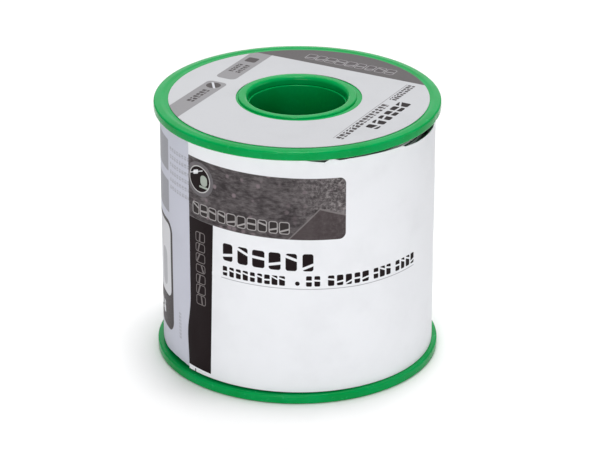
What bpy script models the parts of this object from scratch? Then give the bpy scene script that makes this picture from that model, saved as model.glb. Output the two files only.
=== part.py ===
"""Reel of solder wire: two moulded flanges on a hub tube, the wound wire, and its two labels.

Metres, +Z up. The reel stands on its lower flange with its axis on Z and its underside at z = 0.
The wrap label's free edge faces front left, at LABEL_SEAM_ANGLE from the front (-Y) direction.
"""

import math

import bmesh
import bpy

MM = 0.001

# Reel, in metres
FLANGE_RADIUS = 28.0 * MM
REEL_HEIGHT = 52.8 * MM            # from one flange's outer face to the other's
FLANGE_THICKNESS = 1.8 * MM
OUTER_EDGE_ROUND = 0.4 * MM        # the flange's outer edge, on its outer face
INNER_EDGE_ROUND = 0.4 * MM        # the same edge, on the face that holds the wire
OUTER_EDGE_DROP = 0.05 * MM        # the top flange's rim is a low bead: it climbs from its foot to its
BEAD_FOOT_RADIUS = 26.0 * MM       # crest, then falls a little to the outer edge
BEAD_CREST_RADIUS = 26.65 * MM
BEAD_CREST = 0.12 * MM

BORE_RADIUS = 9.7 * MM             # the hole for the spindle, through each flange
COLLAR_RADIUS = 11.6 * MM          # the rounded collar round the bore
COLLAR_RISE = 0.35 * MM            # how far it stands out of the top flange
BORE_LIP_ROUND = 0.8 * MM
COLLAR_EDGE_ROUND = 0.3 * MM
LOWER_COLLAR_RISE = -0.1 * MM      # the lower flange's collar stays clear of what the reel stands on
UNDERSIDE_RECESS = 0.5 * MM        # the lower flange stands on its rim alone
RIM_INNER_RADIUS = 25.0 * MM
RECESS_EDGE_ROUND = 0.2 * MM

TUBE_OUTER_RADIUS = 11.0 * MM
TUBE_INNER_RADIUS = 9.4 * MM       # a little narrower than the bore, so its end shows as a ledge
TUBE_CHAMFER = 0.15 * MM
SOCKET_DEPTH = 1.2 * MM            # from the flange's outer face down to the tube's end
SKIRT_THICKNESS = 1.1 * MM         # the sleeve on the inner face that grips the tube
SKIRT_LENGTH = 5.0 * MM
SKIRT_CHAMFER = 0.25 * MM          # the lead-in that the tube's end slides past

# Wire, wound in level layers
WIRE_DIAMETER = 1.0 * MM
WINDING_RADIUS = 26.5 * MM         # outside of the last layer
WINDING_EDGE_ROUND = 0.4 * MM

# Labels
PAPER = 0.12 * MM
WRAP_BOTTOM = 2.3 * MM
WRAP_TOP = 50.7 * MM
WRAP_END_RADIUS = 26.98 * MM       # middle of the paper at its free edge, on top of the overlap
WRAP_SPIRAL = 0.22 * MM            # how much lower the paper lies one turn further on
WRAP_OVERLAP = math.radians(14)
LABEL_SEAM_ANGLE = math.radians(-51.5)
RING_LABEL_RADIUS = 25.4 * MM
RING_LABEL_HOLE = 12.3 * MM
RING_LABEL_SHIFT_X = 0.3 * MM      # the ring label is stuck on a little off centre, to the right
RING_LABEL_SHIFT_Y = -0.45 * MM    # and to the front

FIT = 0.3 * MM                     # clearance between separate pieces
GLUE = 0.05 * MM                   # clearance under a stuck label
LARGE_ROUND = 0.7 * MM             # from this size up a rounded edge is an arc, below it a chamfer
ARC_STEPS = 3
FLANGE_STEPS = 72                  # facets round the reel
WRAP_STEPS = 76                    # facets along the wrap label, overlap included
INNER_STEPS = 60                   # facets round the hidden pieces
MERGE = 0.00001

SOCKET_RADIUS = TUBE_OUTER_RADIUS + FIT / 2
SKIRT_RADIUS = SOCKET_RADIUS + SKIRT_THICKNESS
OUTER_LAYER_INSIDE = WINDING_RADIUS - WIRE_DIAMETER

# Base colours
MOULDED_GREEN = (0.0, 0.33, 0.065)
DRAWN_TIN = (0.62, 0.63, 0.65)
WHITE_PAPER = (0.82, 0.83, 0.86)
GREY_PAPER = (0.62, 0.62, 0.64)


def clear_scene():
    for item in list(bpy.data.objects):
        bpy.data.objects.remove(item, do_unlink=True)


def new_collection(name):
    group = bpy.data.collections.new(name)
    bpy.context.scene.collection.children.link(group)
    return group


def make_material(name, colour, roughness, metallic=0.0):
    """One Principled material."""
    made = bpy.data.materials.new(name)
    made.use_nodes = True
    shader = made.node_tree.nodes["Principled BSDF"]
    shader.inputs["Base Color"].default_value = (*colour, 1.0)
    shader.inputs["Roughness"].default_value = roughness
    shader.inputs["Metallic"].default_value = metallic
    made.diffuse_color = (*colour, 1.0)
    return made


def rounded(corners):
    """The closed outline through (radius, height, rounding) corners, with each rounding as an arc."""
    points = []
    for index, (radius, height, rounding) in enumerate(corners):
        if rounding == 0:
            points.append((radius, height))
            continue
        before = corners[index - 1]
        after = corners[(index + 1) % len(corners)]
        legs = []
        for other in (before, after):
            run = (other[0] - radius, other[1] - height)
            length = math.hypot(*run)
            legs.append((run[0] / length, run[1] / length))
        half_angle = math.acos(legs[0][0] * legs[1][0] + legs[0][1] * legs[1][1]) / 2
        middle = (legs[0][0] + legs[1][0], legs[0][1] + legs[1][1])
        reach = rounding / math.sin(half_angle) / math.hypot(*middle)
        centre = (radius + middle[0] * reach, height + middle[1] * reach)
        trim = rounding / math.tan(half_angle)
        start = (radius + legs[0][0] * trim - centre[0], height + legs[0][1] * trim - centre[1])
        end = (radius + legs[1][0] * trim - centre[0], height + legs[1][1] * trim - centre[1])
        turn = math.atan2(start[0] * end[1] - start[1] * end[0], start[0] * end[0] + start[1] * end[1])
        steps = ARC_STEPS if rounding >= LARGE_ROUND else 1
        for step in range(steps + 1):
            angle = turn * step / steps
            across = start[0] * math.cos(angle) - start[1] * math.sin(angle)
            along = start[0] * math.sin(angle) + start[1] * math.cos(angle)
            points.append((centre[0] + across, centre[1] + along))
    return points


def turned(name, corners, material, group, steps):
    """A ring-shaped piece: its outline, first down the outer side, spun once round Z."""
    outline = rounded(corners)
    mesh = bpy.data.meshes.new(name)
    count = len(outline)
    edges = [(index, (index + 1) % count) for index in range(count)]
    mesh.from_pydata([(radius, 0.0, height) for radius, height in outline], edges, [])
    mesh.materials.append(material)
    piece = bpy.data.objects.new(name, mesh)
    group.objects.link(piece)
    spin = piece.modifiers.new("Turn", "SCREW")
    spin.angle = math.tau
    spin.steps = steps
    spin.render_steps = steps
    spin.use_merge_vertices = True
    spin.merge_threshold = MERGE
    spin.use_smooth_shade = False
    return piece


def flange_corners(collar_height, recess):
    """One flange's outline, with its outer face up at height 0. The flange with no recess has the bead."""
    inner_face = -FLANGE_THICKNESS
    skirt_end = inner_face - SKIRT_LENGTH
    corners = [
        (FLANGE_RADIUS, 0.0 if recess > 0 else -OUTER_EDGE_DROP, OUTER_EDGE_ROUND),
        (FLANGE_RADIUS, inner_face, INNER_EDGE_ROUND),
        (SKIRT_RADIUS, inner_face, 0.0),
        (SKIRT_RADIUS, skirt_end, 0.0),
        (SOCKET_RADIUS, skirt_end, SKIRT_CHAMFER),
        (SOCKET_RADIUS, -SOCKET_DEPTH, 0.0),
        (BORE_RADIUS, -SOCKET_DEPTH, 0.0),
        (BORE_RADIUS, collar_height, BORE_LIP_ROUND),
        (COLLAR_RADIUS, collar_height, COLLAR_EDGE_ROUND),
        (COLLAR_RADIUS, -recess, 0.0),
    ]
    if recess > 0:
        corners.append((RIM_INNER_RADIUS, -recess, 0.0))
        corners.append((RIM_INNER_RADIUS, 0.0, RECESS_EDGE_ROUND))
    else:
        corners.append((BEAD_FOOT_RADIUS, 0.0, 0.0))
        corners.append((BEAD_CREST_RADIUS, BEAD_CREST, 0.0))
    return corners


def make_flanges(group, green):
    top = turned("top_flange", flange_corners(COLLAR_RISE, 0.0), green, group, FLANGE_STEPS)
    top.location.z = REEL_HEIGHT
    bottom = turned("bottom_flange", flange_corners(LOWER_COLLAR_RISE, UNDERSIDE_RECESS), green, group,
                    FLANGE_STEPS)
    bottom.rotation_euler.x = math.pi


def make_hub_tube(group, green):
    """The tube's ends stop short of the ledges in both sockets."""
    end = SOCKET_DEPTH + FIT / 2
    corners = [
        (TUBE_OUTER_RADIUS, REEL_HEIGHT - end, TUBE_CHAMFER),
        (TUBE_OUTER_RADIUS, end, TUBE_CHAMFER),
        (TUBE_INNER_RADIUS, end, 0.0),
        (TUBE_INNER_RADIUS, REEL_HEIGHT - end, 0.0),
    ]
    turned("hub_tube", corners, green, group, INNER_STEPS)


def make_winding(group, tin):
    """The wire's inner layers, which step out over the two skirts, and its last layer."""
    low = FLANGE_THICKNESS + FIT
    high = REEL_HEIGHT - low
    over_skirt = SKIRT_RADIUS + FIT
    past_skirt = FLANGE_THICKNESS + SKIRT_LENGTH + FIT
    inner_outside = OUTER_LAYER_INSIDE - FIT
    on_tube = TUBE_OUTER_RADIUS + FIT
    inner_layers = [
        (inner_outside, high, 0.0),
        (inner_outside, low, 0.0),
        (over_skirt, low, 0.0),
        (over_skirt, past_skirt, 0.0),
        (on_tube, past_skirt, 0.0),
        (on_tube, REEL_HEIGHT - past_skirt, 0.0),
        (over_skirt, REEL_HEIGHT - past_skirt, 0.0),
        (over_skirt, high, 0.0),
    ]
    turned("solder_wire_inner_layers", inner_layers, tin, group, INNER_STEPS)
    outer_layer = [
        (WINDING_RADIUS, high, WINDING_EDGE_ROUND),
        (WINDING_RADIUS, low, WINDING_EDGE_ROUND),
        (OUTER_LAYER_INSIDE, low, WINDING_EDGE_ROUND),
        (OUTER_LAYER_INSIDE, high, WINDING_EDGE_ROUND),
    ]
    turned("solder_wire_outer_layer", outer_layer, tin, group, FLANGE_STEPS)


def make_wrap_label(group, paper):
    """A strip wrapped once round the wire, its free edge lying over its own start."""
    sweep = math.tau + WRAP_OVERLAP
    frame = bmesh.new()
    pairs = []
    for step in range(WRAP_STEPS + 1):
        turn = sweep * step / WRAP_STEPS
        angle = LABEL_SEAM_ANGLE + turn
        radius = WRAP_END_RADIUS - WRAP_SPIRAL * turn / math.tau
        place = (radius * math.sin(angle), -radius * math.cos(angle))
        pairs.append([frame.verts.new((*place, height)) for height in (WRAP_BOTTOM, WRAP_TOP)])
    for (low_a, high_a), (low_b, high_b) in zip(pairs, pairs[1:]):
        frame.faces.new((low_a, low_b, high_b, high_a))
    mesh = bpy.data.meshes.new("wrap_label")
    frame.to_mesh(mesh)
    frame.free()
    mesh.materials.append(paper)
    strip = bpy.data.objects.new("wrap_label", mesh)
    group.objects.link(strip)
    skin = strip.modifiers.new("Paper", "SOLIDIFY")
    skin.thickness = PAPER
    skin.offset = 0.0


def make_ring_label(group, paper):
    """The flat ring stuck on the top flange, a little off centre."""
    corners = [
        (RING_LABEL_RADIUS, PAPER, 0.0),
        (RING_LABEL_RADIUS, 0.0, 0.0),
        (RING_LABEL_HOLE, 0.0, 0.0),
        (RING_LABEL_HOLE, PAPER, 0.0),
    ]
    ring = turned("top_ring_label", corners, paper, group, FLANGE_STEPS)
    ring.location = (RING_LABEL_SHIFT_X, RING_LABEL_SHIFT_Y, REEL_HEIGHT + GLUE)


def main():
    clear_scene()
    group = new_collection("solder_wire_spool")
    green = make_material("green_plastic", MOULDED_GREEN, 0.32)
    tin = make_material("solder_wire", DRAWN_TIN, 0.28, metallic=1.0)
    white_paper = make_material("wrap_paper", WHITE_PAPER, 0.4)
    grey_paper = make_material("ring_paper", GREY_PAPER, 0.4)
    make_flanges(group, green)
    make_hub_tube(group, green)
    make_winding(group, tin)
    make_wrap_label(group, white_paper)
    make_ring_label(group, grey_paper)


main()
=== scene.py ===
"""Looks of the solder wire reel: two moulded green flanges on a hub tube, the wound wire and two labels.

Everything is in metres in the frame of the CAD part: the reel stands on z = 0 with its axis on Z,
and the camera looks from the front, along +Y. Angles round the reel are measured from the front,
to the right. Printed sheets carry a UV map named "sheet" that is in millimetres.
"""

import math

import bpy
import numpy as np
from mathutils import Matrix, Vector, noise


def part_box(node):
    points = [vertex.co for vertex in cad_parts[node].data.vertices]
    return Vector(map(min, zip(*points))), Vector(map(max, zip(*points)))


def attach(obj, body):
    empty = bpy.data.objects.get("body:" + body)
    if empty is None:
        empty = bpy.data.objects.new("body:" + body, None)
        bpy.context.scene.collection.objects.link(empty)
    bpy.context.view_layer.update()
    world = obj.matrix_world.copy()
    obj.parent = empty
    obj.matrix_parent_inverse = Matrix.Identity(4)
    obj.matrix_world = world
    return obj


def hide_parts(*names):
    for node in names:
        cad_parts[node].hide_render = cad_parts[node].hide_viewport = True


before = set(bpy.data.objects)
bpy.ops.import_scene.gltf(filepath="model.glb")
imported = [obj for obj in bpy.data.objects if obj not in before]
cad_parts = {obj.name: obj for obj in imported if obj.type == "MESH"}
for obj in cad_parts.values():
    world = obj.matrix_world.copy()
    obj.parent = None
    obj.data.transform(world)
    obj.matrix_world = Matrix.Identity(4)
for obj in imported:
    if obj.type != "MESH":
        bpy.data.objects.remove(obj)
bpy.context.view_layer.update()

MM = 0.001
TAU = math.tau

# Places that come from the CAD part
_, FLANGE_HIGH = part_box("top_flange")
FLANGE_RADIUS = FLANGE_HIGH.x
COLLAR_TOP = FLANGE_HIGH.z
WIRE_LOW, WIRE_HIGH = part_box("solder_wire_outer_layer")
INNER_LOW, INNER_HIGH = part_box("solder_wire_inner_layers")
TUBE_LOW, TUBE_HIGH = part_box("hub_tube")
RING_LOW, RING_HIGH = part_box("top_ring_label")

# Flanges
COLLAR_RISE = 0.35 * MM
REEL_HEIGHT = COLLAR_TOP - COLLAR_RISE
FLANGE_THICKNESS = 1.8 * MM
OUTER_EDGE_ROUND = 0.4 * MM
OUTER_EDGE_DROP = 0.05 * MM        # the top flange's rim is a low bead: it rises from its foot to its crest
BEAD_CREST = 0.12 * MM
BEAD_CREST_RADIUS = 26.65 * MM
BEAD_FOOT_RADIUS = 26.0 * MM
BEAD_ROUND = 1.5 * MM
INNER_EDGE_ROUND = 0.4 * MM
BORE_RADIUS = 9.7 * MM
BORE_LIP_ROUND = 0.8 * MM
COLLAR_RADIUS = 11.6 * MM
COLLAR_EDGE_ROUND = 0.3 * MM
LOWER_COLLAR_RISE = -0.1 * MM      # the lower collar stays above the rim the reel stands on
UNDERSIDE_RECESS = 0.5 * MM
RECESS_STEP_ROUND = 0.2 * MM
RIM_INNER_RADIUS = 25.0 * MM
SOCKET_DEPTH = 1.2 * MM
SOCKET_RADIUS = 11.15 * MM
SKIRT_RADIUS = 12.25 * MM
SKIRT_LENGTH = 5.0 * MM
SKIRT_CHAMFER = 0.25 * MM
GATE_SCAR_ANGLE = math.radians(73)
GATE_SCAR_WIDTH = math.radians(0.9)
GATE_SCAR_DEPTH = 0.1 * MM
PIN_MARK_COUNT = 3                 # ejector pin marks in the recess
PIN_MARK_CIRCLE = 18.5 * MM
PIN_MARK_RADIUS = 1.5 * MM
PIN_MARK_DEPTH = 0.12 * MM
PIN_MARK_EDGE = 0.2 * MM           # width of a mark's sloping side
FLANGE_WARP = 0.02 * MM
WARP_ROUND = 2.3                   # how busy the warp is round the reel
WARP_LENGTH = 20 * MM              # and how far apart its waves are along an outline

FIT = 0.3 * MM                     # clearance between separate pieces
ON_FACE = 0.01 * MM                # a point this near a face lies on it

# Hub tube
TUBE_OUTER_RADIUS = TUBE_HIGH.x
TUBE_INNER_RADIUS = 9.4 * MM
TUBE_CHAMFER = 0.15 * MM

# Wire
OUTER_LAYER_INSIDE = 25.5 * MM
WIRE_DIAMETER = WIRE_HIGH.x - OUTER_LAYER_INSIDE
WIRE_SECTION = WIRE_DIAMETER * 0.49    # the drawn wire's radius, so that its turns don't touch
WINDING_RADIUS = WIRE_HIGH.x - WIRE_DIAMETER / 2
WIRE_PITCH = 1.01 * MM
WIRE_STOP = 48.2 * MM              # the last turn ends a turn short of the top flange
WIRE_SIDES = 8
WIRE_STEPS = 60                    # rings of points in one turn
WIRE_SLACK = 0.02 * MM             # how far the turns wander in and out
WIRE_SLACK_RINGS = 17.0            # rings of points in one such wave
INNER_STEPS = 96
INNER_ROWS = 360                   # divisions along the ridges of the inner layers
RIDGE_FULLNESS = 0.98              # below 1, so that the grooves between ridges have a floor

# Wrap label
PAPER = 0.12 * MM
WRAP_RADIUS = 26.98 * MM           # middle of the paper at its free edge
WRAP_SPIRAL = 0.22 * MM
WRAP_OVERLAP = math.radians(14)
SEAM_ANGLE = math.radians(-51.5)
WRAP_TOP = 50.72 * MM
WRAP_BOTTOM = 2.12 * MM
WRAP_SKEW = 0.23 * MM              # how far the lower edge wanders up and down round the reel
WRAP_STEPS = 400
WRAP_ROWS = 96
WRAP_WAVE = 0.04 * MM              # how far the paper's slow waves stand off
WRAP_WAVE_ROUND = 1.8
WRAP_WAVE_LENGTH = 14 * MM
# How far the label's edges fall short of its full height: degrees round the reel, millimetres
TOP_EDGE = ((3, 0.0), (5, 0.18), (7, 0.32), (11, 0.6), (12.6, 0.1), (15, 0.05), (17, 0.42), (22, 0.32),
            (32, 0.4), (46, 0.64), (48, 0.7), (49.5, 1.1), (58, 1.5), (68, 1.7), (77, 1.8), (79.5, 1.3),
            (84, 0.45), (95, 0.1), (140, 0.0), (170, 0.3), (210, 0.0), (250, 0.25), (275, 0.0))
BOTTOM_EDGE = ((286, 0.0), (293, 0.3), (299, 0.4), (304, 0.3), (310, 0.0))
BACK_START = 45.0                  # where its printing's zones meet, in millimetres along the sheet
FAR_END_START = 110.0
EDGE_BULGE = 0.22 * MM             # the free edge stands off most near its foot
EDGE_BULGE_HEIGHT = 10.0 * MM
EDGE_BULGE_REACH = 4.5 * MM
EDGE_BULGE_ARC = math.radians(7)
EDGE_SLANT = math.radians(1.5)     # above its foot the free edge is cut back
EDGE_SLANT_START = 10.0 * MM
EDGE_SLANT_END = 18.0 * MM
EDGE_SLANT_REACH = math.radians(5)

# Ring label
RING_RADIUS = (RING_HIGH.x - RING_LOW.x) / 2
RING_CENTRE = (RING_HIGH + RING_LOW) / 2
RING_HOLE = 12.3 * MM
RING_TURN = math.radians(-28.5)    # the angle it is stuck on at
RING_WAVE = 0.012 * MM
RING_TOP = RING_HIGH.z - 0.02 * MM # leaves room for its slight waves

ARC_STEPS = 9
RING_STEPS = 288
LONGEST_RUN = 0.5 * MM             # straight parts of an outline are divided at least this finely
SHARP_ANGLE = math.radians(38)

# View and light
VIEW_ELEVATION = math.radians(24.25)
VIEW_DISTANCE = 600.6 * MM
VIEW_TARGET = Vector((0.5 * MM, 0.0, 25.42 * MM))
LENS = 181.86                      # in millimetres, as the sensor's width is
SENSOR_WIDTH = 36.0
NEAR_CLIP = 0.05
FLOOR_HALF = 3.0
WORLD_STRENGTH = 0.2
LIGHT_AIM = Vector((0.0, 0.0, 26 * MM))
# Name, place and size in metres, power in watts
LIGHTS = (
    ("light_overhead", (0.03, 0.0, 1.1), 0.35, 7.9),
    ("light_over_back", (0.05, 0.5, 0.9), 0.5, 2.4),
    ("light_back", (0.0, 1.0, 0.4), 0.8, 2.2),
    ("light_front", (-0.2, -1.1, 0.35), 0.6, 5.8),
    ("light_right", (1.0, 0.0, 0.35), 0.6, 1.8),
)


# ---- Shapes ----

def rounded(corners):
    """The closed outline through (radius, height, rounding) corners, with each rounding as an arc."""
    points = []
    for index, (radius, height, rounding) in enumerate(corners):
        here = Vector((radius, height))
        if rounding == 0:
            points.append(here)
            continue
        before = (Vector(corners[index - 1][:2]) - here).normalized()
        after = (Vector(corners[(index + 1) % len(corners)][:2]) - here).normalized()
        half_angle = before.angle(after) / 2
        centre = here + (before + after).normalized() * rounding / math.sin(half_angle)
        trim = rounding / math.tan(half_angle)
        start = here + before * trim - centre
        end = here + after * trim - centre
        for step in range(ARC_STEPS + 1):
            way = start.slerp(end, step / ARC_STEPS)
            points.append(centre + way.normalized() * rounding)
    return points


def divided(points):
    """The same closed outline, with its long straight parts divided."""
    finer = []
    for here, after in zip(points, points[1:] + points[:1]):
        parts = max(1, math.ceil((after - here).length / LONGEST_RUN))
        finer.extend(here.lerp(after, part / parts) for part in range(parts))
    return finer


def make_piece(name, points, faces, material):
    """A mesh object with smooth faces that meet sharply past SHARP_ANGLE."""
    mesh = bpy.data.meshes.new(name)
    mesh.from_pydata(points, [], faces)
    mesh.materials.append(material)
    mesh.shade_smooth()
    mesh.set_sharp_from_angle(angle=SHARP_ANGLE)
    piece = bpy.data.objects.new(name, mesh)
    bpy.context.scene.collection.objects.link(piece)
    return piece


def loop_faces(rows, columns, rows_close):
    """Quads of a grid of points whose columns close round, and whose rows may close too."""
    faces = []
    for row in range(rows if rows_close else rows - 1):
        next_row = (row + 1) % rows
        for column in range(columns):
            next_column = (column + 1) % columns
            faces.append((row * columns + column, row * columns + next_column,
                          next_row * columns + next_column, next_row * columns + column))
    return faces


def turned(name, corners, material, detail=None, steps=RING_STEPS, centre=Vector()):
    """A ring-shaped piece: its outline, first down the outer side, turned once round Z.

    detail changes a point's (radius, height), given its angle from the front.
    """
    outline = divided(rounded(corners))
    points = []
    for step in range(steps):
        angle = TAU * step / steps
        for corner in outline:
            radius, height = detail(angle, *corner) if detail else corner
            points.append((centre.x + radius * math.sin(angle), centre.y - radius * math.cos(angle), height))
    return make_piece(name, points, loop_faces(steps, len(outline), True), material)


def smooth_step(value, low, high):
    """0 up to low, 1 from high, and a smooth climb between them."""
    part = min(max((value - low) / (high - low), 0.0), 1.0)
    return part * part * (3 - 2 * part)


def warp(angle, radius, height, seed):
    """A slow wave, from -1 to 1, that closes round the reel."""
    along = seed + (radius + height) / WARP_LENGTH
    return noise.noise(Vector((math.sin(angle) * WARP_ROUND, math.cos(angle) * WARP_ROUND, along)))


def flange_corners(collar_rise, recess):
    """One flange's outline, with its outer face up at height 0. A flange with no recess has the bead."""
    inner_face = -FLANGE_THICKNESS
    skirt_end = inner_face - SKIRT_LENGTH
    corners = [
        (FLANGE_RADIUS, 0.0 if recess > 0 else -OUTER_EDGE_DROP, OUTER_EDGE_ROUND),
        (FLANGE_RADIUS, inner_face, INNER_EDGE_ROUND),
        (SKIRT_RADIUS, inner_face, 0.0),
        (SKIRT_RADIUS, skirt_end, 0.0),
        (SOCKET_RADIUS, skirt_end, SKIRT_CHAMFER),
        (SOCKET_RADIUS, -SOCKET_DEPTH, 0.0),
        (BORE_RADIUS, -SOCKET_DEPTH, 0.0),
        (BORE_RADIUS, collar_rise, BORE_LIP_ROUND),
        (COLLAR_RADIUS, collar_rise, COLLAR_EDGE_ROUND),
        (COLLAR_RADIUS, -recess, 0.0),
    ]
    if recess > 0:
        corners.append((RIM_INNER_RADIUS, -recess, 0.0))
        corners.append((RIM_INNER_RADIUS, 0.0, RECESS_STEP_ROUND))
    else:
        corners.append((BEAD_FOOT_RADIUS, 0.0, BEAD_ROUND))
        corners.append((BEAD_CREST_RADIUS, BEAD_CREST, BEAD_ROUND))
    return corners


def top_flange_detail(angle, radius, height):
    """A slight warp of the moulding, and the scar where it was cut from its gate."""
    near_gate = math.exp(-((angle - GATE_SCAR_ANGLE) / GATE_SCAR_WIDTH) ** 2)
    on_edge = smooth_step(radius, FLANGE_RADIUS - OUTER_EDGE_ROUND, FLANGE_RADIUS)
    sink = FLANGE_WARP * (1 + warp(angle, radius, height, seed=4.0)) / 2
    return radius - GATE_SCAR_DEPTH * near_gate * on_edge, height - sink + REEL_HEIGHT


def bottom_flange_detail(angle, radius, height):
    """The same moulding the other way up, with pin marks sunk into its recess."""
    x = radius * math.sin(angle)
    y = radius * math.cos(angle)
    sunk = 0.0
    if abs(height + UNDERSIDE_RECESS) < ON_FACE:
        for pin in range(PIN_MARK_COUNT):
            place = TAU * pin / PIN_MARK_COUNT
            away = math.hypot(x - PIN_MARK_CIRCLE * math.sin(place), y - PIN_MARK_CIRCLE * math.cos(place))
            sunk += PIN_MARK_DEPTH * (1 - smooth_step(away, PIN_MARK_RADIUS - PIN_MARK_EDGE, PIN_MARK_RADIUS))
    sink = FLANGE_WARP * (1 + warp(angle, radius, height, seed=9.0)) / 2
    return radius, sink + sunk - height


def make_flanges(green):
    top = turned("top_flange_moulding", flange_corners(COLLAR_RISE, 0.0), green, top_flange_detail)
    bottom = turned("bottom_flange_moulding", flange_corners(LOWER_COLLAR_RISE, UNDERSIDE_RECESS), green,
                    bottom_flange_detail)
    return top, bottom


def make_hub_tube(green):
    corners = [
        (TUBE_OUTER_RADIUS, TUBE_HIGH.z, TUBE_CHAMFER),
        (TUBE_OUTER_RADIUS, TUBE_LOW.z, TUBE_CHAMFER),
        (TUBE_INNER_RADIUS, TUBE_LOW.z, TUBE_CHAMFER),
        (TUBE_INNER_RADIUS, TUBE_HIGH.z, TUBE_CHAMFER),
    ]
    return turned("hub_tube_moulding", corners, green, steps=RING_STEPS // 2)


def make_outer_turns(tin):
    """The last layer of wire: one round wire wound side by side, closed at both ends."""
    start = WIRE_LOW.z + WIRE_DIAMETER / 2
    turns = (WIRE_STOP - start) / WIRE_PITCH
    rings = round(turns * WIRE_STEPS)
    points = []
    for ring in range(rings + 1):
        angle = TAU * ring / WIRE_STEPS
        middle = start + WIRE_PITCH * ring / WIRE_STEPS
        slack = WIRE_SLACK * noise.noise(Vector((ring / WIRE_SLACK_RINGS, 3.0, 0.0)))
        for side in range(WIRE_SIDES):
            around = TAU * side / WIRE_SIDES
            radius = WINDING_RADIUS - WIRE_SLACK + slack + WIRE_SECTION * math.cos(around)
            height = middle + WIRE_SECTION * math.sin(around)
            points.append((radius * math.sin(angle), -radius * math.cos(angle), height))
    faces = loop_faces(rings + 1, WIRE_SIDES, False)
    faces.append(tuple(range(WIRE_SIDES)))
    faces.append(tuple(reversed(range(rings * WIRE_SIDES, (rings + 1) * WIRE_SIDES))))
    return make_piece("solder_wire_outer_turns", points, faces, tin)


def inner_turns_detail(angle, radius, height):
    """Wire turns as ridges on the outside of the inner layers."""
    if radius < INNER_HIGH.x - ON_FACE:
        return radius, height
    along = (height - INNER_LOW.z) / WIRE_DIAMETER % 1.0 - 0.5
    return radius - WIRE_DIAMETER / 2 * (1 - math.sqrt(1 - 4 * along * along * RIDGE_FULLNESS)), height


def make_inner_turns(tin):
    """The layers under the last one, which step out over the two flanges' skirts."""
    over_skirt = SKIRT_RADIUS + FIT
    on_tube = TUBE_OUTER_RADIUS + FIT
    past_skirt = FLANGE_THICKNESS + SKIRT_LENGTH + FIT
    low = INNER_LOW.z
    high = INNER_HIGH.z
    ridged = [(INNER_HIGH.x, high - (high - low) * row / INNER_ROWS, 0.0) for row in range(INNER_ROWS + 1)]
    corners = ridged + [
        (over_skirt, low, 0.0),
        (over_skirt, past_skirt, 0.0),
        (on_tube, past_skirt, 0.0),
        (on_tube, REEL_HEIGHT - past_skirt, 0.0),
        (over_skirt, REEL_HEIGHT - past_skirt, 0.0),
        (over_skirt, high, 0.0),
    ]
    return turned("solder_wire_inner_turns", corners, tin, inner_turns_detail, steps=INNER_STEPS)


def top_edge(degrees):
    """Height of the wrap label's top edge."""
    places, shortfalls = zip(*TOP_EDGE)
    return WRAP_TOP - np.interp(degrees, places, shortfalls) * MM


def bottom_edge(degrees):
    """Height of the wrap label's bottom edge."""
    places, shortfalls = zip(*BOTTOM_EDGE)
    level = WRAP_BOTTOM - WRAP_SKEW * math.sin(math.radians(degrees))
    return level + np.interp(degrees, places, shortfalls) * MM


def wrap_point(turn, up, layer):
    """A point of the wrap label and how far along the sheet it lies, in millimetres.

    turn is the angle from its free edge, up is 0 to 1, and layer is +1 or -1.
    """
    degrees = math.degrees(SEAM_ANGLE + turn)
    low = bottom_edge(degrees)
    height = low + (top_edge(degrees) - low) * up
    cut_back = EDGE_SLANT * smooth_step(height, EDGE_SLANT_START, EDGE_SLANT_END)
    angle = SEAM_ANGLE + turn + cut_back * (1 - smooth_step(turn, 0.0, EDGE_SLANT_REACH))
    wave = WRAP_WAVE * noise.noise(Vector((
        math.sin(angle) * WRAP_WAVE_ROUND, math.cos(angle) * WRAP_WAVE_ROUND, height / WRAP_WAVE_LENGTH)))
    lift = EDGE_BULGE * math.exp(-((height - EDGE_BULGE_HEIGHT) / EDGE_BULGE_REACH) ** 2)
    lift *= 1 - smooth_step(turn, 0.0, EDGE_BULGE_ARC)
    radius = WRAP_RADIUS - WRAP_SPIRAL * turn / TAU + wave + lift + layer * PAPER / 2
    return (radius * math.sin(angle), -radius * math.cos(angle), height), angle * WRAP_RADIUS / MM


def add_sheet_map(piece, place):
    """A UV map in millimetres, from each point's place on the printed sheet."""
    mesh = piece.data
    layer = mesh.uv_layers.new(name="sheet")
    corners = np.zeros(len(mesh.loops), dtype=np.int32)
    mesh.loops.foreach_get("vertex_index", corners)
    layer.data.foreach_set("uv", place[corners].astype(np.float32).ravel())


def make_wrap_label(papers):
    """A strip of paper wound once round the wire, its free edge lying over its own start.

    papers are the materials of its front, back and far end, divided at BACK_START and FAR_END_START.
    """
    sweep = TAU + WRAP_OVERLAP
    columns = [(row / WRAP_ROWS, 1) for row in range(WRAP_ROWS + 1)]
    columns += [(1 - row / WRAP_ROWS, -1) for row in range(WRAP_ROWS + 1)]
    points = []
    place = []
    for step in range(WRAP_STEPS + 1):
        turn = sweep * step / WRAP_STEPS
        for up, layer in columns:
            point, along = wrap_point(turn, up, layer)
            points.append(point)
            place.append((along, point[2] / MM))
    faces = loop_faces(WRAP_STEPS + 1, len(columns), False)
    last = WRAP_STEPS * len(columns)
    for row in range(WRAP_ROWS):
        opposite = len(columns) - 1 - row
        faces.append((row, row + 1, opposite - 1, opposite))
        faces.append((last + row + 1, last + row, last + opposite, last + opposite - 1))
    piece = make_piece("wrap_label_paper", points, faces, papers[0])
    for paper in papers[1:]:
        piece.data.materials.append(paper)
    for face in piece.data.polygons:
        arc = place[face.vertices[0]][0]
        face.material_index = int(arc > BACK_START) + int(arc > FAR_END_START)
    add_sheet_map(piece, np.array(place))
    return piece


def ring_label_detail(angle, radius, height):
    """Slight waves, the same on both faces of the paper."""
    return radius, height + RING_WAVE * warp(angle, radius, 0.0, seed=21.0)


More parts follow.
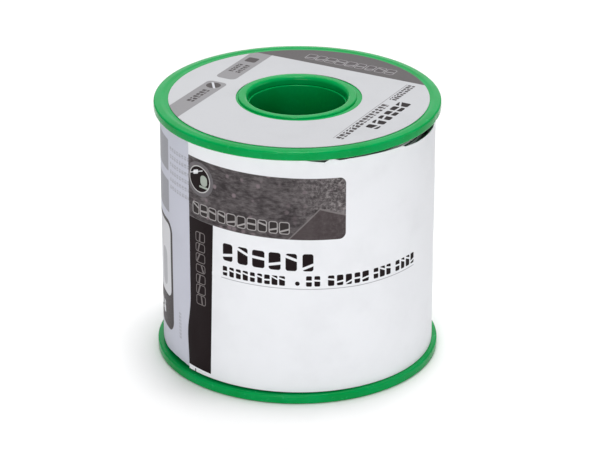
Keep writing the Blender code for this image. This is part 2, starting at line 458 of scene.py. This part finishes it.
def make_ring_label(paper):
    """The flat ring of paper on the top flange. Its printing is centred on the reel in Y, not on the ring."""
    corners = [
        (RING_RADIUS, RING_TOP, 0.0),
        (RING_RADIUS, RING_LOW.z, 0.0),
        (RING_HOLE, RING_LOW.z, 0.0),
        (RING_HOLE, RING_TOP, 0.0),
    ]
    piece = turned("top_ring_label_paper", corners, paper, ring_label_detail, centre=RING_CENTRE)
    flat = np.array([vertex.co[:2] for vertex in piece.data.vertices]) - (RING_CENTRE.x, 0.0)
    across = np.array((math.cos(RING_TURN), math.sin(RING_TURN)))
    up = np.array((-math.sin(RING_TURN), math.cos(RING_TURN)))
    add_sheet_map(piece, np.stack((flat @ across, flat @ up), axis=1) / MM)
    return piece


# ---- Node helpers ----

def put(tree, socket, value):
    """Feeds a socket from another node's output, or sets it to a number or a row of numbers."""
    if isinstance(value, bpy.types.NodeSocket):
        tree.links.new(value, socket)
    else:
        socket.default_value = value


def calc(tree, operation, *values):
    node = tree.nodes.new("ShaderNodeMath")
    node.operation = operation
    for socket, value in zip(node.inputs, values):
        put(tree, socket, value)
    return node.outputs[0]


def vector_calc(tree, operation, *values):
    node = tree.nodes.new("ShaderNodeVectorMath")
    node.operation = operation
    for socket, value in zip(node.inputs, values):
        put(tree, socket, value)
    return node.outputs["Value" if operation == "LENGTH" else "Vector"]


def split(tree, vector):
    node = tree.nodes.new("ShaderNodeSeparateXYZ")
    put(tree, node.inputs[0], vector)
    return node.outputs


def join(tree, x, y, z=0.0):
    node = tree.nodes.new("ShaderNodeCombineXYZ")
    for socket, value in zip(node.inputs, (x, y, z)):
        put(tree, socket, value)
    return node.outputs[0]


def ramp(tree, value, low, high, out_low=0.0, out_high=1.0):
    """A smooth change from out_low to out_high as value goes from low to high."""
    node = tree.nodes.new("ShaderNodeMapRange")
    node.interpolation_type = "SMOOTHSTEP"
    for socket, number in zip(node.inputs, (value, low, high, out_low, out_high)):
        put(tree, socket, number)
    return node.outputs[0]


def grain(tree, vector, scale, detail=3.0, roughness=0.55, stretch=(1.0, 1.0, 1.0)):
    """Noise from 0 to 1, with scale in cycles per millimetre."""
    node = tree.nodes.new("ShaderNodeTexNoise")
    put(tree, node.inputs["Vector"], vector_calc(tree, "MULTIPLY", vector, stretch))
    node.inputs["Scale"].default_value = scale
    node.inputs["Detail"].default_value = detail
    node.inputs["Roughness"].default_value = roughness
    return node.outputs["Fac"]


def over(tree, under, colour, amount):
    """One colour laid over another by an amount from 0 to 1."""
    node = tree.nodes.new("ShaderNodeMix")
    node.data_type = "RGBA"
    put(tree, node.inputs["Factor"], amount)
    for socket, value in zip((node.inputs[6], node.inputs[7]), (under, colour)):
        put(tree, socket, value if isinstance(value, bpy.types.NodeSocket) else (*value, 1.0))
    return node.outputs[2]


def bump(tree, height, distance):
    """A normal that follows a height from 0 to 1, which stands for distance in metres."""
    node = tree.nodes.new("ShaderNodeBump")
    node.inputs["Distance"].default_value = distance
    put(tree, node.inputs["Height"], height)
    return node.outputs[0]


def new_material(name):
    material = bpy.data.materials.new(name)
    material.use_nodes = True
    return material, material.node_tree, material.node_tree.nodes["Principled BSDF"]


def object_millimetres(tree):
    node = tree.nodes.new("ShaderNodeTexCoord")
    return vector_calc(tree, "MULTIPLY", node.outputs["Object"], (1000.0, 1000.0, 1000.0))


def sheet_place(tree):
    node = tree.nodes.new("ShaderNodeUVMap")
    node.uv_map = "sheet"
    return node.outputs[0]


# ---- Printing ----

SOFT_EDGE = 0.04                   # half the width of a printed edge, in millimetres
DEEP = 9.0                         # a printed box has no third side, so it is simply a large one


def new_group(name, inputs):
    """A node group with one output, Mask. Returns the group, its inputs and that output's socket."""
    group = bpy.data.node_groups.new(name, "ShaderNodeTree")
    for label, kind in inputs:
        group.interface.new_socket(label, in_out="INPUT", socket_type=kind)
    group.interface.new_socket("Mask", in_out="OUTPUT", socket_type="NodeSocketFloat")
    given = group.nodes.new("NodeGroupInput").outputs
    result = group.nodes.new("NodeGroupOutput").inputs["Mask"]
    return group, given, result


def make_panel_group():
    """A rounded box: 1 inside it, 0 outside it."""
    group, given, result = new_group("Printed panel", (
        ("Sheet", "NodeSocketVector"), ("Centre", "NodeSocketVector"),
        ("Half Size", "NodeSocketVector"), ("Corner", "NodeSocketFloat")))
    away = vector_calc(group, "ABSOLUTE", vector_calc(group, "SUBTRACT", given["Sheet"], given["Centre"]))
    corner = join(group, given["Corner"], given["Corner"], given["Corner"])
    core = vector_calc(group, "SUBTRACT", given["Half Size"], corner)
    outside = vector_calc(group, "MAXIMUM", vector_calc(group, "SUBTRACT", away, core), (0.0, 0.0, 0.0))
    distance = calc(group, "SUBTRACT", vector_calc(group, "LENGTH", outside), given["Corner"])
    put(group, result, ramp(group, distance, -SOFT_EDGE, SOFT_EDGE, 1.0, 0.0))
    return group


def make_row_group(panel_group):
    """A row of blocks that stand for lettering. Each has its own width and is split at its own height."""
    group, given, result = new_group("Printed row", (
        ("Sheet", "NodeSocketVector"), ("Start", "NodeSocketVector"), ("Pitch", "NodeSocketFloat"),
        ("Height", "NodeSocketFloat"), ("Blocks", "NodeSocketFloat"), ("Grow", "NodeSocketFloat")))
    place = split(group, vector_calc(group, "SUBTRACT", given["Sheet"], given["Start"]))
    blocks_along = calc(group, "DIVIDE", place["X"], given["Pitch"])
    index = calc(group, "FLOOR", blocks_along)
    random = group.nodes.new("ShaderNodeTexWhiteNoise")
    random.noise_dimensions = "3D"
    start = split(group, given["Start"])
    put(group, random.inputs["Vector"], join(group, index, start["X"], start["Y"]))
    first, second, _ = split(group, random.outputs["Color"])
    across = calc(group, "MULTIPLY", calc(group, "SUBTRACT", calc(group, "FRACT", blocks_along), 0.5),
                  given["Pitch"])
    half_height = calc(group, "MULTIPLY", given["Height"], 0.5)
    up = calc(group, "SUBTRACT", place["Y"], half_height)
    half_width = calc(group, "MULTIPLY", given["Pitch"], ramp(group, first, 0.0, 1.0, 0.33, 0.40))

    block = group.nodes.new("ShaderNodeGroup")
    block.node_tree = panel_group
    put(group, block.inputs["Sheet"], join(group, across, up))
    block.inputs["Centre"].default_value = (0.0, 0.0, 0.0)
    grown_width = calc(group, "ADD", half_width, given["Grow"])
    grown_height = calc(group, "ADD", half_height, given["Grow"])
    put(group, block.inputs["Half Size"], join(group, grown_width, grown_height, DEEP))
    corner = calc(group, "MULTIPLY", given["Pitch"], 0.16)
    put(group, block.inputs["Corner"], calc(group, "ADD", given["Grow"], corner))

    slant = calc(group, "MULTIPLY", across, calc(group, "SUBTRACT", second, 0.5))
    split_part = calc(group, "SUBTRACT", ramp(group, second, 0.0, 1.0, 0.25, 0.75), 0.5)
    split_height = calc(group, "MULTIPLY", given["Height"], split_part)
    from_split = calc(group, "ABSOLUTE", calc(group, "SUBTRACT", calc(group, "ADD", up, slant), split_height))
    gap = calc(group, "SUBTRACT", calc(group, "MULTIPLY", given["Height"], 0.08), given["Grow"])
    solid = ramp(group, calc(group, "SUBTRACT", from_split, gap), -SOFT_EDGE, SOFT_EDGE)

    after_first = calc(group, "GREATER_THAN", blocks_along, 0.0)
    before_last = calc(group, "LESS_THAN", blocks_along, given["Blocks"])
    in_row = calc(group, "MULTIPLY", after_first, before_last)
    put(group, result, calc(group, "MULTIPLY", calc(group, "MULTIPLY", block.outputs[0], solid), in_row))
    return group


class Printing:
    """Inks laid on a sheet of paper one after another, in the sheet's millimetres."""

    def __init__(self, tree, paper_colour, panel_group, row_group):
        self.tree = tree
        self.colour = paper_colour
        self.panel_group = panel_group
        self.row_group = row_group

    def lay(self, mask, ink, strength=1.0):
        """Prints one ink where the mask is 1."""
        amount = mask if strength == 1.0 else calc(self.tree, "MULTIPLY", mask, strength)
        self.colour = over(self.tree, self.colour, ink, amount)

    def panel(self, where, left, bottom, right, top, corner=0.1):
        """The mask of a rounded box."""
        node = self.tree.nodes.new("ShaderNodeGroup")
        node.node_tree = self.panel_group
        put(self.tree, node.inputs["Sheet"], where)
        node.inputs["Centre"].default_value = ((left + right) / 2, (bottom + top) / 2, 0.0)
        node.inputs["Half Size"].default_value = ((right - left) / 2, (top - bottom) / 2, DEEP)
        node.inputs["Corner"].default_value = corner
        return node.outputs[0]

    def frame(self, where, left, bottom, right, top, corner, line):
        """The mask of a rounded box's outline."""
        outer = self.panel(where, left, bottom, right, top, corner)
        inner = self.panel(where, left + line, bottom + line, right - line, top - line, corner - line)
        return calc(self.tree, "SUBTRACT", outer, inner)

    def blocks(self, where, left, right, base, height, count, grow=0.0):
        """The mask of a row of blocks that stand for lettering."""
        node = self.tree.nodes.new("ShaderNodeGroup")
        node.node_tree = self.row_group
        put(self.tree, node.inputs["Sheet"], where)
        node.inputs["Start"].default_value = (left, base, 0.0)
        node.inputs["Pitch"].default_value = (right - left) / count
        node.inputs["Height"].default_value = height
        node.inputs["Blocks"].default_value = count
        node.inputs["Grow"].default_value = grow
        return node.outputs[0]

    def disc(self, where, x, y, radius):
        """The mask of a round spot."""
        away = vector_calc(self.tree, "LENGTH", vector_calc(self.tree, "SUBTRACT", where, (x, y, 0.0)))
        return ramp(self.tree, away, radius - SOFT_EDGE, radius + SOFT_EDGE, 1.0, 0.0)

    def outlined_blocks(self, where, left, right, base, height, count, line, outline_ink, ink):
        """Prints a row of blocks with an outline of the given width."""
        self.lay(self.blocks(where, left, right, base, height, count, line), outline_ink)
        self.lay(self.blocks(where, left, right, base, height, count), ink)


# ---- Materials ----

INK_BLACK = (0.012, 0.007, 0.008)
INK_DARK = (0.062, 0.053, 0.056)
INK_GREY = (0.30, 0.30, 0.33)
INK_PALE = (0.55, 0.56, 0.60)
PRINT_WHITE = (0.86, 0.87, 0.90)
WRAP_WHITE = (0.82, 0.83, 0.86)
# The far end's paper is darker and bluer than the rest: painted shade of the reel's left side, which faces
# away from the lights
WRAP_END_PAINTED_SHADE_WHITE = (0.57, 0.58, 0.66)
FRAMED_WHITE = (0.68, 0.68, 0.71)
RING_GREY = (0.50, 0.505, 0.525)
TAB_GREY = (0.26, 0.255, 0.265)
TAB_DARK = (0.075, 0.066, 0.068)
STRIP_DARK = (0.105, 0.098, 0.100)
STRIP_OUTLINE = (0.31, 0.30, 0.31)
STRIP_LETTER = (0.09, 0.08, 0.085)
HEADER_OUTLINE = (0.37, 0.35, 0.35)
HEADER_LETTER = (0.035, 0.03, 0.03)
BAND_OUTLINE = (0.19, 0.17, 0.17)
BADGE_HALO = (0.16, 0.15, 0.16)
BADGE_LINE = (0.55, 0.54, 0.54)
BADGE_GREEN = (0.42, 0.47, 0.42)
PICTURE_DARK = (0.040, 0.034, 0.036)
PICTURE_LIGHT = (0.150, 0.134, 0.138)
PICTURE_SPOT = (0.26, 0.205, 0.225)
PICTURE_GLINT = (0.36, 0.33, 0.33)
CHIP_DARK = (0.066, 0.052, 0.054)
CHIP_EDGE = (0.24, 0.22, 0.22)
GREEN_DEEP = (0.0, 0.285, 0.057)
GREEN_LIGHT = (0.0, 0.32, 0.075)
GREEN_RUBBED = (0.03, 0.42, 0.16)
TIN_DULL = (0.42, 0.43, 0.45)
TIN_BRIGHT = (0.66, 0.66, 0.67)

BADGE_X = -20.5                    # the badge's middle, in millimetres on the page
BADGE_Y = 42.55


def make_green_plastic():
    """Glossy moulded plastic with faint flow marks, fine scuffs and rubbed edges."""
    material, tree, shader = new_material("green_plastic")
    place = object_millimetres(tree)
    x, y, _ = split(tree, place)
    radius = vector_calc(tree, "LENGTH", join(tree, x, y))

    clouds = grain(tree, place, 0.13, 4.0)
    colour = over(tree, GREEN_DEEP, GREEN_LIGHT, ramp(tree, clouds, 0.35, 0.65))
    rubbed = grain(tree, place, 0.9, 6.0, 0.7)
    near_edge = ramp(tree, radius, 26.6, 27.9)
    wear = calc(tree, "MULTIPLY", near_edge, ramp(tree, rubbed, 0.56, 0.72))
    colour = over(tree, colour, GREEN_RUBBED, calc(tree, "MULTIPLY", wear, 0.4))
    put(tree, shader.inputs["Base Color"], colour)

    scratches = grain(tree, place, 1.1, 5.0, 0.7)
    shine = ramp(tree, scratches, 0.3, 0.75, 0.13, 0.27)
    put(tree, shader.inputs["Roughness"], calc(tree, "ADD", shine, calc(tree, "MULTIPLY", wear, 0.2)))
    shader.inputs["Specular IOR Level"].default_value = 0.085

    rings = calc(tree, "SINE", calc(tree, "MULTIPLY", radius, 14.0))
    pits = grain(tree, place, 2.4, 4.0, 0.6)
    relief = calc(tree, "ADD", calc(tree, "MULTIPLY", rings, 0.03), pits)
    put(tree, shader.inputs["Normal"], bump(tree, relief, 0.007 * MM))
    return material


def make_solder_wire():
    """Drawn tin wire: bright metal with streaks along it and a dull bloom."""
    material, tree, shader = new_material("solder_wire")
    place = object_millimetres(tree)
    x, y, z = split(tree, place)
    along = calc(tree, "MULTIPLY", calc(tree, "ARCTAN2", x, y), 8.0)
    radius = vector_calc(tree, "LENGTH", join(tree, x, y))
    drawn = join(tree, along, calc(tree, "MULTIPLY", z, 9.0), calc(tree, "MULTIPLY", radius, 9.0))
    streaks = grain(tree, drawn, 0.8, 4.0, 0.6)
    bloom = grain(tree, place, 0.25, 3.0)
    colour = over(tree, TIN_DULL, TIN_BRIGHT, ramp(tree, streaks, 0.3, 0.7))
    put(tree, shader.inputs["Base Color"], colour)
    shader.inputs["Metallic"].default_value = 1.0
    put(tree, shader.inputs["Roughness"], ramp(tree, bloom, 0.3, 0.7, 0.24, 0.45))
    put(tree, shader.inputs["Normal"], bump(tree, streaks, 0.01 * MM))
    return material


def paper_surface(tree, shader, sheet, place, white):
    """Coated paper: a little mottled, with fibres in it. Returns its unprinted colour."""
    mottle = grain(tree, place, 0.09, 5.0, 0.6)
    fibres = grain(tree, sheet, 3.0, 3.0, 0.6, (0.5, 1.6, 1.0))
    shade = tuple(value * 0.955 for value in white)
    colour = over(tree, white, shade, ramp(tree, mottle, 0.42, 0.75))
    faint = calc(tree, "MULTIPLY", ramp(tree, fibres, 0.55, 0.8), 0.25)
    colour = over(tree, colour, shade, faint)
    shader.inputs["Specular IOR Level"].default_value = 0.06
    relief = calc(tree, "ADD", fibres, calc(tree, "MULTIPLY", mottle, 2.0))
    put(tree, shader.inputs["Normal"], bump(tree, relief, 0.01 * MM))
    return colour, fibres


def circuit_picture(printing, where):
    """The dark picture in the header: blurred tracks, solder spots and the corner of a large chip."""
    tree = printing.tree
    tracks = grain(tree, where, 1.3, 5.0, 0.65, (0.5, 1.3, 1.0))
    clouds = grain(tree, where, 0.22, 4.0, 0.6)
    mixed = calc(tree, "ADD", calc(tree, "MULTIPLY", tracks, 0.6), calc(tree, "MULTIPLY", clouds, 0.4))
    colour = over(tree, PICTURE_DARK, PICTURE_LIGHT, ramp(tree, mixed, 0.36, 0.68))
    x, y, _ = split(tree, where)
    spots = tree.nodes.new("ShaderNodeTexVoronoi")
    put(tree, spots.inputs["Vector"], where)
    spots.inputs["Scale"].default_value = 0.6
    kind, _, _ = split(tree, spots.outputs["Color"])
    small = calc(tree, "MULTIPLY", ramp(tree, spots.outputs["Distance"], 0.14, 0.38, 1.0, 0.0),
                 calc(tree, "GREATER_THAN", kind, 0.5))
    small = calc(tree, "MULTIPLY", small, ramp(tree, calc(tree, "SUBTRACT", y, x), 36.0, 56.0, 0.25, 1.0))
    colour = over(tree, colour, PICTURE_SPOT, calc(tree, "MULTIPLY", small, 0.75))
    lighter = ramp(tree, calc(tree, "ADD", x, calc(tree, "MULTIPLY", y, 0.35)), 10.0, 25.0)
    glints = ramp(tree, grain(tree, where, 1.3, 6.0, 0.75), 0.44, 0.70)
    colour = over(tree, colour, PICTURE_GLINT, calc(tree, "MULTIPLY", lighter, glints))

    # The chip lies below its back edge and to the right of its left edge.
    back_edge = calc(tree, "SUBTRACT", calc(tree, "SUBTRACT", 41.69, calc(tree, "MULTIPLY", x, 0.3)), y)
    left_edge = calc(tree, "SUBTRACT", calc(tree, "ADD", 35.8, calc(tree, "MULTIPLY", x, 1.07)), y)
    inside = calc(tree, "MINIMUM", back_edge, left_edge)
    colour = over(tree, colour, CHIP_DARK, ramp(tree, inside, -0.1, 0.1, 0.0, 0.8))
    rim = ramp(tree, calc(tree, "ABSOLUTE", inside), 0.08, 0.28, 0.65, 0.0)
    return over(tree, colour, CHIP_EDGE, rim)


def print_front(printing, sheet):
    """The header picture with its badge, the band, the title and the line under it."""
    tree = printing.tree
    x, y, _ = split(tree, sheet)
    # The printing leans a little: it climbs towards the free edge, left of x = 12.
    climb = calc(tree, "MULTIPLY", calc(tree, "SUBTRACT", 12.0, calc(tree, "MINIMUM", x, 12.0)), 0.038)
    page_y = calc(tree, "SUBTRACT", y, climb)
    page = join(tree, x, page_y)
    upright = join(tree, y, calc(tree, "MULTIPLY", x, -1.0))
    # The band's right side leans towards the free edge further down.
    lean = calc(tree, "MULTIPLY", calc(tree, "SUBTRACT", 34.0, y), 0.031)
    leaning = join(tree, calc(tree, "ADD", x, lean), page_y)

    printing.lay(printing.panel(page, -40.0, 34.0, 9.35, 46.65, 1.3), circuit_picture(printing, page))

    # The badge: a black disc with a slanted white bar and two pale green shapes on it
    printing.lay(printing.disc(page, BADGE_X, BADGE_Y, 3.5), BADGE_HALO, 0.8)
    printing.lay(printing.disc(page, BADGE_X, BADGE_Y, 2.75), BADGE_LINE)
    printing.lay(printing.disc(page, BADGE_X, BADGE_Y, 2.55), INK_BLACK)
    slanted = join(tree, x, calc(tree, "SUBTRACT", page_y, calc(tree, "MULTIPLY", x, 0.4)))
    printing.lay(printing.panel(slanted, -23.0, 52.28, -19.6, 52.5, 0.05), PRINT_WHITE, 0.7)
    printing.lay(printing.panel(slanted, -22.1, 51.95, -20.8, 52.8, 0.2), PRINT_WHITE, 0.85)
    printing.lay(printing.panel(page, -20.2, 41.4, -18.5, 43.6, 0.8), BADGE_GREEN, 0.9)
    printing.lay(printing.panel(page, -20.5, 40.95, -18.3, 41.35, 0.1), BADGE_GREEN, 0.9)

    printing.outlined_blocks(page, -22.6, -1.4, 35.2, 2.2, 10, 0.18, HEADER_OUTLINE, HEADER_LETTER)
    printing.lay(printing.panel(leaning, -40.0, 1.95, -17.2, 34.0), INK_BLACK)
    printing.outlined_blocks(upright, 17.2, 32.8, 19.4, 2.2, 7, 0.16, BAND_OUTLINE, INK_BLACK)

    for left, right, base, height, count in (
            (-15.45, 3.6, 27.5, 3.6, 6), (-15.2, -2.2, 24.3, 2.0, 9), (1.4, 4.6, 24.3, 2.2, 2),
            (5.6, 14.5, 24.3, 2.2, 5), (15.2, 19.8, 24.3, 2.2, 3), (20.7, 26.8, 24.3, 2.2, 4)):
        printing.lay(printing.blocks(page, left, right, base, height, count), INK_BLACK)
    printing.lay(printing.disc(page, 0.0, 24.9, 0.45), INK_BLACK)
    printing.lay(printing.panel(page, -15.35, 23.66, 26.6, 23.82, 0.05), INK_GREY, 0.8)

    # Small marks: a dark stroke at the foot of the free edge is painted shade of a gap in the paper there,
    # and a small white nick sits at the band's edge
    printing.lay(printing.panel(sheet, -22.5, 1.9, -22.2, 2.9, 0.1), INK_BLACK, 0.9)
    printing.lay(printing.panel(sheet, -17.5, 24.7, -17.15, 25.5, 0.12), PRINT_WHITE, 0.8)


def print_back(printing, sheet):
    """Lines of words, a table and a pattern of bars."""
    tree = printing.tree
    for line in range(7):
        printing.lay(printing.blocks(sheet, 48.0, 78.0 - 4.0 * (line % 3), 43.5 - 2.6 * line, 1.3, 22),
                     INK_DARK, 0.85)
    for line in range(5):
        printing.lay(printing.blocks(sheet, 84.0, 106.0 - 3.0 * (line % 2), 43.5 - 2.6 * line, 1.3, 16),
                     INK_DARK, 0.85)
    printing.lay(printing.frame(sheet, 84.0, 8.0, 106.0, 28.0, 1.2, 0.35), INK_DARK)
    for line in range(3):
        base = 9.3 + 5.0 * line
        printing.lay(printing.panel(sheet, 84.0, base + 3.6, 106.0, base + 3.85, 0.05), INK_DARK)
        printing.lay(printing.blocks(sheet, 86.0, 100.0, base, 1.8, 8), INK_DARK, 0.8)
    x, _, _ = split(tree, sheet)
    random = tree.nodes.new("ShaderNodeTexWhiteNoise")
    random.noise_dimensions = "1D"
    put(tree, random.inputs["W"], calc(tree, "FLOOR", calc(tree, "MULTIPLY", x, 2.6)))
    bars = calc(tree, "GREATER_THAN", random.outputs["Value"], 0.5)
    printing.lay(calc(tree, "MULTIPLY", bars, printing.panel(sheet, 50.0, 9.0, 74.0, 20.0)), INK_BLACK)


def print_far_end(printing, sheet):
    """The end that lies under the overlap: grey panels, small lines of words and a framed panel."""
    tree = printing.tree
    x, y, _ = split(tree, sheet)
    upright = join(tree, y, calc(tree, "SUBTRACT", 145.0, x))
    printing.lay(printing.panel(sheet, 112.0, 41.4, 137.5, 48.0, 0.3), INK_GREY, 0.9)
    printing.lay(printing.panel(sheet, 112.0, 32.6, 137.5, 39.4, 0.3), INK_GREY, 0.9)
    for line in range(6):
        printing.lay(printing.blocks(sheet, 138.3, 150.0, 46.2 - 1.6 * line, 0.8, 12), INK_GREY, 0.55)
    printing.lay(printing.panel(sheet, 112.0, 7.0, 138.9, 30.8, 2.6), INK_DARK)
    printing.lay(printing.panel(sheet, 112.9, 14.3, 137.9, 29.9, 1.8), FRAMED_WHITE)
    for left in (114.0, 120.0, 126.0, 132.4):
        printing.lay(printing.panel(sheet, left, 15.9, left + 3.3, 24.0, 1.6), INK_GREY, 0.55)
    printing.lay(printing.blocks(sheet, 114.5, 134.0, 9.3, 2.6, 9), PRINT_WHITE, 0.85)
    printing.lay(printing.blocks(upright, 7.2, 13.0, 2.8, 0.8, 8), INK_GREY, 0.6)


def make_paper(name, white, draw, groups):
    """Printed paper. draw lays the inks."""
    material, tree, shader = new_material(name)
    sheet = sheet_place(tree)
    colour, fibres = paper_surface(tree, shader, sheet, object_millimetres(tree), white)
    printing = Printing(tree, colour, *groups)
    draw(printing, sheet)
    put(tree, shader.inputs["Base Color"], printing.colour)
    put(tree, shader.inputs["Roughness"], ramp(tree, fibres, 0.3, 0.7, 0.36, 0.5))
    return material


def print_ring(printing, sheet):
    """A dark strip along one side, two dark tabs, a title and a line of words that runs down the page."""
    tree = printing.tree
    x, y, _ = split(tree, sheet)
    down = join(tree, calc(tree, "MULTIPLY", y, -1.0), x)
    for bottom, top in ((-40.0, -1.0), (1.2, 40.0)):
        printing.lay(printing.panel(sheet, -19.6, bottom, -15.2, top, 1.2), TAB_GREY)
    printing.lay(printing.disc(sheet, -17.4, -3.1, 1.45), TAB_DARK)
    slanted = join(tree, calc(tree, "ADD", x, calc(tree, "MULTIPLY", y, 0.7)), y)
    printing.lay(printing.panel(slanted, -19.85, -4.4, -19.3, -1.8), INK_PALE)
    printing.lay(printing.panel(sheet, -18.7, 11.3, -16.3, 13.7, 0.4), TAB_DARK)
    printing.lay(printing.panel(sheet, -30.0, 16.7, 30.0, 40.0), STRIP_DARK)
    printing.outlined_blocks(sheet, -9.0, 11.0, 18.6, 2.4, 9, 0.16, STRIP_OUTLINE, STRIP_LETTER)
    for left, right, base, height, count, ink in (
            (5.6, 12.6, -18.1, 1.5, 6, INK_DARK), (-9.7, -5.0, -17.2, 1.0, 5, INK_DARK),
            (-9.7, -5.0, -18.8, 1.0, 5, INK_DARK), (-6.9, 8.3, 18.55, 2.6, 6, INK_BLACK),
            (-15.4, -6.6, 16.2, 1.5, 9, INK_DARK), (-4.2, 15.6, 16.2, 1.5, 15, INK_DARK)):
        printing.lay(printing.blocks(down, left, right, base, height, count), ink)
    printing.lay(printing.panel(sheet, 15.75, -15.6, 15.88, 15.4, 0.05), INK_DARK, 0.7)


def make_floor_material():
    """A plain pale floor."""
    material, tree, shader = new_material("studio_floor")
    shader.inputs["Base Color"].default_value = (0.92, 0.92, 0.92, 1.0)
    shader.inputs["Roughness"].default_value = 0.9
    shader.inputs["Specular IOR Level"].default_value = 0.1
    return material


# ---- Studio ----

def make_camera():
    data = bpy.data.cameras.new("camera")
    data.lens = LENS
    data.sensor_width = SENSOR_WIDTH
    data.clip_start = NEAR_CLIP
    camera = bpy.data.objects.new("camera", data)
    bpy.context.scene.collection.objects.link(camera)
    back = Vector((0.0, -math.cos(VIEW_ELEVATION), math.sin(VIEW_ELEVATION)))
    camera.location = VIEW_TARGET + back * VIEW_DISTANCE
    camera.rotation_euler = back.to_track_quat("Z", "Y").to_euler()
    bpy.context.scene.camera = camera


def make_softbox(name, place, size, power):
    """A square area light that faces the reel."""
    data = bpy.data.lights.new(name, "AREA")
    data.shape = "SQUARE"
    data.size = size
    data.energy = power
    light = bpy.data.objects.new(name, data)
    bpy.context.scene.collection.objects.link(light)
    light.location = place
    light.rotation_euler = (Vector(place) - LIGHT_AIM).to_track_quat("Z", "Y").to_euler()


def make_studio():
    world = bpy.data.worlds.new("studio")
    world.use_nodes = True
    background = world.node_tree.nodes["Background"]
    background.inputs["Color"].default_value = (1.0, 1.0, 1.0, 1.0)
    background.inputs["Strength"].default_value = WORLD_STRENGTH
    bpy.context.scene.world = world
    bpy.context.scene.view_settings.view_transform = "Standard"
    for light in LIGHTS:
        make_softbox(*light)
    corners = [(-FLOOR_HALF, -FLOOR_HALF, 0.0), (FLOOR_HALF, -FLOOR_HALF, 0.0),
               (FLOOR_HALF, FLOOR_HALF, 0.0), (-FLOOR_HALF, FLOOR_HALF, 0.0)]
    make_piece("studio_floor", corners, [(0, 1, 2, 3)], make_floor_material())


# ---- The model ----

make_camera()
make_studio()
panel_group = make_panel_group()
groups = (panel_group, make_row_group(panel_group))
green = make_green_plastic()
tin = make_solder_wire()
# The far end's paper carries painted shade of the reel's left side in its base colour
wrap_papers = [make_paper(name, white, draw, groups) for name, white, draw in (
    ("wrap_paper_front", WRAP_WHITE, print_front), ("wrap_paper_back", WRAP_WHITE, print_back),
    ("wrap_paper_far_end", WRAP_END_PAINTED_SHADE_WHITE, print_far_end))]
ring_paper = make_paper("ring_paper", RING_GREY, print_ring, groups)
top_flange, bottom_flange = make_flanges(green)
for piece, node, slot in (
        (top_flange, "top_flange", "green_plastic"),
        (bottom_flange, "bottom_flange", "green_plastic"),
        (make_hub_tube(green), "hub_tube", "green_plastic"),
        (make_inner_turns(tin), "solder_wire_inner_layers", "solder_wire"),
        (make_outer_turns(tin), "solder_wire_outer_layer", "solder_wire"),
        (make_wrap_label(wrap_papers), "wrap_label", "wrap_paper"),
        (make_ring_label(ring_paper), "top_ring_label", "ring_paper")):
    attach(piece, "root")
    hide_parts(node)
